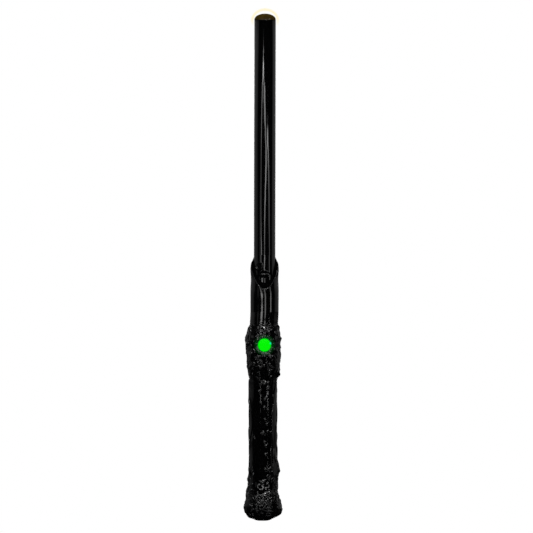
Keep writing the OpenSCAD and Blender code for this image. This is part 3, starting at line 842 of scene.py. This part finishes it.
def button():
    """The cap: a shallow dome with a rounded edge, a skirt and its flange, hollow behind."""
    top, bottom, flange_t, wall = BUTTON_LOW[1], BUTTON_HIGH[1], 0.8, 1.4
    rim, edge = 1.0, 0.35
    outline = [(0, top)]
    face = np.linspace(0.4, BUTTON_R - edge, 16)
    outline += [(r, top + rim * (r / BUTTON_R) ** 2.2) for r in face]
    shoulder = outline[-1][1] + edge
    outline += [
        (BUTTON_R - edge + edge * math.sin(a), shoulder - edge * math.cos(a))
        for a in np.linspace(0.3, math.pi / 2, 6)
    ]
    outline += [
        (BUTTON_R, bottom - flange_t), (FLANGE_OF_BUTTON_R, bottom - flange_t),
        (FLANGE_OF_BUTTON_R, bottom), (BUTTON_R - 1, bottom), (BUTTON_R - 1, top + wall),
        (0, top + wall),
    ]
    return lathe("button", outline, 96, True, (0, BUTTON_H))


def membrane():
    """The silicone spring: foot, cone and top ring, in its resting shape."""
    low, high = node_box("button_membrane")
    foot_r, height = high[0], high[1] - low[1]
    outline = [
        (foot_r - 0.9, 0), (foot_r, 0), (foot_r, 0.7), (foot_r - 0.4, 0.8), (5.1, height),
        (3.1, height), (3.1, height - 0.9), (4.4, height - 0.9),
    ]
    outline = [(r, high[1] - z) for r, z in outline]
    return lathe("membrane", outline, 72, True, (0, BUTTON_H))


# ---------------------------------------------------------------- materials


class Look:
    """A node material round one shader, and short calls to feed it."""

    def __init__(self, name, kind="ShaderNodeBsdfPrincipled", **sockets):
        self.material = bpy.data.materials.new(name)
        self.material.use_nodes = True
        self.tree = self.material.node_tree
        self.tree.nodes.clear()
        self.shader = self.add(kind)
        self.add("ShaderNodeOutputMaterial", {"Surface": self.shader.outputs[0]})
        for socket, value in sockets.items():
            self.shader.inputs[socket.replace("_", " ")].default_value = value

    @cached_property
    def place(self):
        return self.add("ShaderNodeTexCoord").outputs["Object"]

    @cached_property
    def axes(self):
        return self.add("ShaderNodeSeparateXYZ", {"Vector": self.place}).outputs

    def add(self, kind, feed=None, **settings):
        """A new node with settings, and with values or outputs fed to its sockets."""
        made = self.tree.nodes.new(kind)
        for key, value in settings.items():
            setattr(made, key, value)
        for socket, value in (feed or {}).items():
            self.link(value, made.inputs[socket])
        return made

    def link(self, value, to):
        """Feeds an output or a plain value to a socket, or to the shader's socket of a name."""
        socket = self.shader.inputs[to] if isinstance(to, str) else to
        if isinstance(value, bpy.types.NodeSocket):
            self.tree.links.new(value, socket)
        else:
            socket.default_value = value

    def noise(self, scale, detail=3, stretch=(1, 1, 1), rough=0.55):
        """Noise of about scale features to a metre."""
        mapping = self.add("ShaderNodeMapping", {"Vector": self.place, "Scale": stretch})
        feed = {"Scale": scale, "Detail": detail, "Roughness": rough, "Vector": mapping.outputs[0]}
        return self.add("ShaderNodeTexNoise", feed).outputs["Fac"]

    def spread(self, value, low, high, start=0.3, end=0.7):
        """value, from start to end, spread over low to high."""
        feed = {"Value": value, "From Min": start, "From Max": end, "To Min": low, "To Max": high}
        return self.add("ShaderNodeMapRange", feed).outputs["Result"]

    def upward(self, bottom, top, low=0, high=1):
        """low up to the height bottom and high from the height top, in millimetres."""
        return self.spread(self.axes["Z"], low, high, BASE_Z + bottom * MM, BASE_Z + top * MM)

    def ramp(self, value, *stops):
        """Colours that pass through stops of (position, colour), in rising order."""
        made = self.add("ShaderNodeValToRGB", {"Fac": value})
        elements = made.color_ramp.elements
        while len(elements) < len(stops):
            elements.new(1.0)
        for element, (position, colour) in zip(elements, stops):
            element.position, element.color = position, (*colour, 1)
        return made.outputs["Color"]

    def colours(self, value, first, second, start=0.3, end=0.7):
        return self.ramp(value, (start, first), (end, second))

    def mix(self, factor, first, second):
        """The first colour where factor is 0, the second where it is 1."""
        feed = {"Factor": factor, "A": first, "B": second}
        return self.add("ShaderNodeMix", feed, data_type="RGBA").outputs["Result"]

    def maths(self, operation, first, second):
        return self.add("ShaderNodeMath", {0: first, 1: second}, operation=operation).outputs[0]

    def product(self, first, *others):
        for other in others:
            first = self.maths("MULTIPLY", first, other)
        return first

    def bump(self, heights, distance, strength=0.5):
        """Adds a bump from height outputs, each a pair of an output and its share."""
        total = self.product(*heights[0])
        for output, share in heights[1:]:
            total = self.maths("ADD", total, self.product(output, share))
        feed = {"Distance": distance, "Strength": strength, "Height": total}
        self.link(self.add("ShaderNodeBump", feed).outputs["Normal"], "Normal")

    def round_place(self, x, h, near, far):
        """1 within near millimetres of a line along Y at (x, h), falling to 0 at far."""
        feed = {0: self.place, 1: (1, 0, 1)}
        flat = self.add("ShaderNodeVectorMath", feed, operation="MULTIPLY")
        feed = {0: flat.outputs["Vector"], 1: (x * MM, 0, h * MM + BASE_Z)}
        away = self.add("ShaderNodeVectorMath", feed, operation="DISTANCE")
        return self.spread(away.outputs["Value"], 1, 0, near * MM, far * MM)


def surface(name, first, second, rough=(0.35, 0.55), **sockets):
    """A plain moulded surface: two tones, uneven roughness and a fine grain."""
    look = Look(name, **sockets)
    look.link(look.colours(look.noise(400), first, second), "Base Color")
    look.link(look.spread(look.noise(680), *rough), "Roughness")
    look.bump([(look.noise(2500, 4), 1.0)], 2e-5)
    return look


def black_plastic(name, haze):
    """Glossy black: a deep black with faint clouds, hairline scratches and handling haze."""
    look = Look(name, IOR=1.5)
    cloud = look.noise(60, 4)
    look.link(look.colours(cloud, (0.0002, 0.0002, 0.0003), (0.0009, 0.0009, 0.001)), "Base Color")
    hairs = look.noise(900, 2, (1, 1, 0.04), 0.7)
    dull = look.spread(look.noise(140, 4), haze, haze + 0.02)
    scratched = look.spread(hairs, 0, 0.03, 0.62, 0.75)
    look.link(look.maths("ADD", dull, scratched), "Roughness")
    look.bump([(look.noise(700, 3), 0.6), (hairs, 0.15)], 2e-6, 0.6)
    return look


def handle_plastic():
    """The same black, with painted highlights: paler in patches on the sharpest crests of the boss
    and the pommel, and painted green light round the button."""
    look = black_plastic("handle_black", 0.05)
    black = look.shader.inputs["Base Color"].links[0].from_socket
    # painted highlight: the sharpest crests of the boss and pommel get a paler base colour, in
    # patches, standing in for the glints of the lights on them
    pommel = look.upward(34, 40, 1, 0)
    boss = look.product(look.upward(97, 101), look.upward(136, 138, 1, 0))
    sharp = look.add("ShaderNodeNewGeometry").outputs["Pointiness"]
    patches = look.spread(look.noise(300), 0.1, 1, 0.38, 0.66)
    crests = look.spread(sharp, 0, 1, 0.53, 0.6)
    painted_crest_highlight = look.product(crests, patches, look.maths("ADD", pommel, boss))
    look.link(look.mix(painted_crest_highlight, black, (0.16, 0.16, 0.165, 1)), "Base Color")
    # painted light: a green emission on the handle round the button, standing in for the button's
    # light falling on the surface there
    near_button = look.round_place(0, BUTTON_H, BUTTON_R, BUTTON_R + 3.4)
    in_front = look.spread(look.axes["Y"], 1, 0, -8 * MM, -6 * MM)
    patches = look.spread(look.noise(1100), 0.3, 1.5)
    look.link((0, 1, 0.13, 1), "Emission Color")
    glow = look.product(look.maths("POWER", near_button, 1.4), patches, in_front, 0.055)
    look.link(glow, "Emission Strength")
    return look


def lit_green():
    """The button's translucent green, lit from behind, darker at its rim and with one cyan glint."""
    look = Look("lit_green", Roughness=0.35, IOR=1.46, Specular_IOR_Level=0.05)
    look.link(look.colours(look.noise(500), (0, 0.05, 0), (0, 0.07, 0)), "Base Color")
    inside = look.round_place(0, BUTTON_H, BUTTON_R - 0.55, BUTTON_R)
    green = look.colours(inside, (0, 0.16, 0.01), (0, 0.85, 0), 0, 1)
    glint = look.round_place(BUTTON_R - 0.2, BUTTON_H + 1.3, 0.3, 1.1)
    look.link(look.mix(glint, green, (0, 0.8, 0.42, 1)), "Emission Color")
    look.link(look.spread(look.noise(900), 0.98, 1.03), "Emission Strength")
    look.bump([(look.noise(1500), 1.0)], 1e-5, 0.3)
    return look


def smoky_lens():
    """Smoky amber, with a dim warm light that is strongest at the dome's edge."""
    look = Look("smoky_lens", Roughness=0.22, IOR=1.49, Specular_IOR_Level=0.1)
    streak = look.noise(260, 3, (1, 1, 0.5))
    look.link(look.colours(streak, (0.012, 0.008, 0.001), (0.03, 0.018, 0.003)), "Base Color")
    warm = look.ramp(
        look.upward(BARREL_TOP, LENGTH),
        (0.0, (0.003, 0.002, 0.001)), (0.35, (0.008, 0.006, 0.001)),
        (0.75, (0.016, 0.01, 0.001)), (1.0, (0.012, 0.007, 0.001)),
    )
    look.link(warm, "Emission Color")
    edge = look.spread(look.add("ShaderNodeLayerWeight").outputs["Facing"], 0.5, 2.6, 0.35, 0.9)
    look.link(look.product(edge, look.spread(look.noise(420), 0.7, 1.25)), "Emission Strength")
    return look


def metal(name, first, second, rough=(0.2, 0.35), stretch=(1, 1, 1)):
    """Bare metal with a faint grain, drawn out by stretch."""
    look = Look(name, Metallic=1.0)
    brushed = look.noise(1200, 3, stretch)
    look.link(look.colours(brushed, first, second), "Base Color")
    look.link(look.spread(look.noise(400), *rough), "Roughness")
    look.bump([(brushed, 1.0)], 1.5e-5, 0.4)
    return look


def circuit_green():
    """Solder mask over copper tracks."""
    look = Look("circuit_green")
    feed = {"Vector": look.place, "Rotation": (math.radians(90), 0, 0)}
    tracks = look.add("ShaderNodeTexBrick", {
        "Vector": look.add("ShaderNodeMapping", feed).outputs[0],
        "Scale": 380, "Mortar Size": 0.03, "Mortar": (0.02, 0.2, 0.06, 1),
        "Color1": (0.004, 0.075, 0.02, 1), "Color2": (0.005, 0.09, 0.024, 1),
    }, offset=0.5)
    look.link(tracks.outputs["Color"], "Base Color")
    look.link(look.spread(look.noise(500), 0.2, 0.35), "Roughness")
    look.bump([(tracks.outputs["Fac"], 1.0)], 3e-5, 0.6)
    return look


def floor_look():
    """A pale matt floor that fades into the white round it."""
    look = Look("pale_floor", Roughness=0.9, Specular_IOR_Level=0.1, Emission_Color=(1, 1, 1, 1))
    look.link(look.colours(look.noise(9, 2), (0.8, 0.8, 0.8), (0.84, 0.84, 0.84)), "Base Color")
    away = look.add("ShaderNodeVectorMath", {0: look.place}, operation="LENGTH")
    look.link(look.spread(away.outputs["Value"], 0.0, 1.0, 0.12, 0.5), "Emission Strength")
    return look


# The look of each of the record's material slots
SHINY, SATIN = (0.1, 0.2), (0.3, 0.45)
LOOKS = {
    "barrel_plastic": black_plastic("barrel_black", 0.03),
    "handle_plastic": handle_plastic(),
    "smoky_lens": smoky_lens(),
    "lit_green": lit_green(),
    "board_green": circuit_green(),
}
for slot, first, second, settings in (
    ("led_warm", (0.9, 0.75, 0.45), (1, 0.9, 0.65), {
        "rough": SHINY, "IOR": 1.5, "Emission_Color": (1, 0.82, 0.45, 1), "Emission_Strength": 2.0,
    }),
    ("led_green", (0.1, 0.7, 0.15), (0.2, 0.85, 0.25), {
        "rough": SHINY, "IOR": 1.5, "Emission_Color": (0.1, 1, 0.15, 1), "Emission_Strength": 2.0,
    }),
    ("dark_plastic", (0.012, 0.012, 0.014), (0.022, 0.022, 0.024), {}),
    ("black_rubber", (0.01, 0.01, 0.01), (0.02, 0.02, 0.02), {"rough": (0.6, 0.8)}),
    ("clear_silicone", (0.6, 0.63, 0.65), (0.7, 0.73, 0.74), {
        "rough": (0.4, 0.5), "Subsurface_Weight": 0.3, "Subsurface_Scale": 0.002,
    }),
    ("wire_red", (0.4, 0.012, 0.012), (0.5, 0.02, 0.02), {"rough": SATIN}),
    ("wire_black", (0.01, 0.01, 0.01), (0.018, 0.018, 0.018), {"rough": SATIN}),
    ("capacitor_tan", (0.45, 0.25, 0.09), (0.55, 0.32, 0.13), {"rough": (0.25, 0.4)}),
    ("red_fibre", (0.3, 0.03, 0.02), (0.42, 0.06, 0.04), {"rough": (0.6, 0.75)}),
):
    LOOKS[slot] = surface(slot, first, second, **settings)
for slot, first, second, settings in (
    ("tinned_metal", (0.6, 0.61, 0.63), (0.75, 0.76, 0.78), {}),
    ("screw_steel", (0.36, 0.36, 0.37), (0.55, 0.55, 0.57), {"rough": (0.25, 0.42)}),
    ("cell_steel", (0.55, 0.56, 0.57), (0.7, 0.71, 0.72), {"stretch": (1, 1, 9)}),
    ("contact_brass", (0.6, 0.45, 0.2), (0.75, 0.6, 0.3), {}),
):
    LOOKS[slot] = metal(slot, first, second, **settings)


def place_piece(made, node, body):
    """Gives a new piece its look, stands it for its CAD node and fixes it to a body."""
    slot = next(s["material_slot"] for s in frame["record"]["subparts"] if s["node"] == node)
    made.data.materials.clear()
    made.data.materials.append(LOOKS[slot].material)
    smooth_shading(made)
    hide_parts(node)
    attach(made, body)
    return made


for make, node, body in (
    (front_shell, "front_shell", "wand"), (back_shell, "back_shell", "wand"),
    (battery_cover, "battery_cover", "battery_door"), (barrel, "barrel_tube", "wand"),
    (tip_lens, "tip_lens", "wand"), (button, "button_cap", "button"),
):
    place_piece(make(), node, body)
spring = place_piece(membrane(), "button_membrane", "wand")
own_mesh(spring)

# The CAD nodes that no new piece stands for
for part in frame["record"]["subparts"]:
    cad = frame["nodes"][part["node"]]
    if not cad.hide_render:
        if not cad.material_slots:
            cad.data.materials.append(None)
        for place in cad.material_slots:
            place.material = LOOKS[part["material_slot"]].material

# ---------------------------------------------------------------- studio

scene = bpy.context.scene
MID_Z = (CAD_BOX[0].z + CAD_BOX[1].z) / 2


def stage_mesh(name, points, faces, look):
    """A mesh of the stage, from points in metres."""
    mesh = bpy.data.meshes.new(name)
    mesh.from_pydata(points, [], faces)
    mesh.materials.append(look.material)
    made = bpy.data.objects.new(name, mesh)
    scene.collection.objects.link(made)
    return made


def floor():
    """A round floor just under the pommel."""
    reach, sides = 1.2, 96
    turns = [2 * math.pi * k / sides for k in range(sides)]
    points = [(reach * math.cos(t), reach * math.sin(t), 0) for t in turns]
    made = stage_mesh("floor", points, [tuple(range(sides))], floor_look())
    made.location.z = CAD_BOX[0].z - 0.0002
    made.visible_glossy = False


def ribbon(name, places, soft=0.0, columns=2):
    """A tall strip of light on an arc round the wand, seen only in reflections. places are
    (height, azimuth, width, brightness): heights in millimetres, azimuths and widths in degrees,
    from the front towards the right. soft is the share of the width over which the edges fade."""
    reach = 0.9
    table = np.array(places[::-1], float)
    heights = np.arange(table[0, 0], table[-1, 0] + 1, 2.0)
    kernel = np.hanning(7) / np.hanning(7).sum()
    azimuths, widths, levels = (
        np.convolve(np.pad(np.interp(heights, table[:, 0], table[:, k]), 3, "edge"), kernel, "valid")
        for k in (1, 2, 3)
    )
    across = np.linspace(-0.5, 0.5, columns)
    fade = np.clip((0.5 - np.abs(across)) / soft, 0, 1) if soft else np.ones(columns)
    angles = np.radians(azimuths[:, None] + across * widths[:, None])
    x, y = turned(reach, angles)
    z = np.broadcast_to(BASE_Z + heights[:, None] * MM, x.shape)
    points = np.stack([x, y, z], axis=2).reshape(-1, 3)
    look = Look(name, "ShaderNodeEmission")
    look.link(look.add("ShaderNodeAttribute", attribute_name="glow").outputs["Fac"], "Strength")
    made = stage_mesh(name, points.tolist(), grid_faces(len(heights), columns), look)
    layer = made.data.attributes.new("glow", "FLOAT", "POINT")
    layer.data.foreach_set("value", (levels[:, None] * fade).ravel())
    made.visible_camera = made.visible_diffuse = made.visible_shadow = False


def tip_glow():
    """The faint yellow haze the lit tip gives the air round it: a thin shell just clear of the
    dome, with a narrow hole down its middle."""
    centre, wide, tall, hole_r = LENGTH - 5, 10.3, 9.2, 0.5
    turns = np.radians(np.linspace(-25, 90, 40)[:-1])
    outline = [(wide * math.cos(a), centre + tall * math.sin(a)) for a in turns]
    made = lathe("tip_glow", [(hole_r, outline[0][1])] + outline, 96)
    smooth_shading(made, 60)
    look = Look("tip_glow", "ShaderNodeBsdfTransparent")
    white, yellow = (1, 1, 1), (1, 0.955, 0.78)
    facing = look.add("ShaderNodeLayerWeight").outputs["Facing"]
    tint = look.ramp(facing, (0.33, white), (0.47, yellow), (0.88, white))
    look.link(look.mix(look.upward(centre - 3.5, centre + 1.5), (*white, 1), tint), "Color")
    made.data.materials.append(look.material)
    made.visible_glossy = made.visible_diffuse = made.visible_shadow = False


def area(name, azimuth, elevation, distance, size, power):
    """A soft area light that looks at the middle of the wand and isn't seen in reflections."""
    light = bpy.data.lights.new(name, "AREA")
    light.shape = "RECTANGLE"
    light.size, light.size_y = size
    light.energy = power
    made = bpy.data.objects.new(name, light)
    a, e = math.radians(azimuth), math.radians(elevation)
    away = Vector((math.sin(a) * math.cos(e), -math.cos(a) * math.cos(e), math.sin(e)))
    made.location = Vector((0, 0, MID_Z)) + away * distance
    made.rotation_euler = away.to_track_quat("Z", "Y").to_euler()
    made.visible_camera = False
    made.visible_glossy = False
    scene.collection.objects.link(made)


def world():
    """White to the eye and nearly black in reflections, which show the strips and panels. It gives
    the rest of the scene that dark light too."""
    made = bpy.data.worlds.new("studio")
    scene.world = made
    made.use_nodes = True
    tree = made.node_tree
    tree.nodes.clear()

    mix, output, path = (
        tree.nodes.new(f"ShaderNode{kind}") for kind in ("MixShader", "OutputWorld", "LightPath")
    )
    tree.links.new(path.outputs["Is Camera Ray"], mix.inputs[0])
    for socket, grey in ((1, 0.006), (2, 1)):
        background = tree.nodes.new("ShaderNodeBackground")
        background.inputs["Color"].default_value = (grey, grey, grey, 1)
        tree.links.new(background.outputs[0], mix.inputs[socket])
    tree.links.new(mix.outputs[0], output.inputs["Surface"])


def camera():
    """Straight at the front, without perspective, and leaning a hair to one side."""
    view_width, aside, above, lean = 0.3731, 0.00132, 0.0005, math.radians(0.11)
    lens = bpy.data.cameras.new("camera")
    lens.type = "ORTHO"
    lens.ortho_scale = view_width
    lens.clip_end = 20
    made = bpy.data.objects.new("camera", lens)
    made.matrix_world = Matrix.Translation((aside, -2, MID_Z + above)) @ (
        Matrix.Rotation(-lean, 4, "Y") @ Matrix.Rotation(math.radians(90), 4, "X")
    )
    scene.collection.objects.link(made)
    scene.camera = made


floor()
world()
camera()
tip_glow()
ribbon("strip_left", [
    (332, -16, 1, 0), (328, -16, 2, 3), (323, -16, 7, 9), (319, -16, 11, 14), (313, -16, 11, 13),
    (309, -19, 10, 8), (304, -26, 9, 4), (294, -31.5, 9, 3), (284, -34, 8, 2.6), (274, -35, 8, 2.8),
    (264, -36, 8, 2.3), (254, -37, 7, 1.7), (222, -37, 7, 1.9), (208, -36, 7, 2), (191, -32, 8, 3),
    (175, -28, 8, 2), (160, -22, 14, 5.5), (150, -20, 13, 5), (143, -20, 8, 2), (137, -20, 4, 0),
])
ribbon("strip_middle", [
    (307, -10, 3, 1), (304, -7, 8, 5), (300, -5, 10, 5), (294, -4, 10, 4.4), (284, -2, 10, 4),
    (274, 1, 9, 3.4), (264, 4, 9, 3.2), (258, 9, 12, 4.2), (254, 11, 14, 4.8), (245, 8.5, 13, 5.4),
    (234, 4, 11, 5.4), (222, -1, 10, 4.2), (208, -3, 9, 3.4), (191, -2, 8, 2), (175, 2, 8, 1.5),
    (160, 6, 9, 2.6), (140, 7, 9, 2.8), (134, 7, 8, 2.4), (130, 7, 4, 0),
])
ribbon("strip_right", [
    (282, 28, 1, 0), (278, 28, 3, 4), (274, 28, 8, 6), (270, 28, 12, 6), (264, 28, 20, 6.4),
    (259, 33, 15, 5), (254, 41, 10, 3.6), (245, 44, 10, 2.1), (234, 45, 10, 1.8), (222, 46, 9, 1.3),
    (208, 46, 9, 1.3), (191, 48, 9, 1.1), (175, 50, 8, 1.5), (160, 52, 8, 3), (140, 52, 8, 3.2),
    (134, 50, 8, 2.6), (130, 50, 4, 0),
])
ribbon("strip_faint", [(238, -54, 8, 0), (230, -54, 8, 0.2), (191, -54, 9, 0.25), (150, -54, 9, 0.2)])
ribbon("panel_left", [
    (900, -118, 90, 0.03), (365, -118, 112, 0.05), (345, -118, 112, 0.36), (300, -120, 98, 0.3),
    (270, -122, 88, 0.24), (180, -123, 84, 0.2), (160, -128, 72, 0.15), (140, -128, 72, 0.14),
    (134, -124, 84, 0.06), (104, -124, 84, 0.06), (98, -124, 84, 0.13), (40, -124, 84, 0.13),
    (30, -124, 84, 0.06), (-20, -124, 84, 0.04), (-300, -124, 84, 0.02),
], 0.14, 24)
ribbon("panel_right", [
    (900, 126, 90, 0.03), (365, 127, 88, 0.05), (345, 127, 88, 0.33), (200, 127, 86, 0.3),
    (160, 129, 82, 0.2), (140, 129, 82, 0.2), (134, 127, 86, 0.06), (104, 127, 86, 0.06),
    (98, 127, 86, 0.16), (40, 127, 86, 0.16), (30, 127, 86, 0.08), (-20, 127, 86, 0.04),
    (-300, 127, 86, 0.02),
], 0.1, 24)
ribbon("panel_high", [(800, 5, 130, 1.6), (560, 5, 130, 1.6)], 0.1, 24)
ribbon("panel_low", [(-420, 5, 120, 0.7), (-700, 5, 120, 0.7)], 0.1, 24)
for side, azimuth in (("left", -22), ("middle", 7), ("right", 50)):
    ribbon(f"high_{side}", [(710, azimuth, 10, 28), (625, azimuth, 10, 28)])
ribbon("grip_left", [(90, -19, 7, 11), (87, -19, 7, 11)])
ribbon("grip_right", [(93, 30, 8, 13), (89, 46, 9, 13)])
for k, azimuth in enumerate((174, 187)):
    ribbon(f"strip_back_{k}", [(330, azimuth, 5, 4), (180, azimuth, 6, 3), (-200, azimuth, 5, 3)])
area("overhead", 20, 65, 1.4, (1.2, 1.2), 20)
area("fill", -60, 25, 1.6, (1.0, 1.2), 8)
scene.view_settings.view_transform = "Standard"
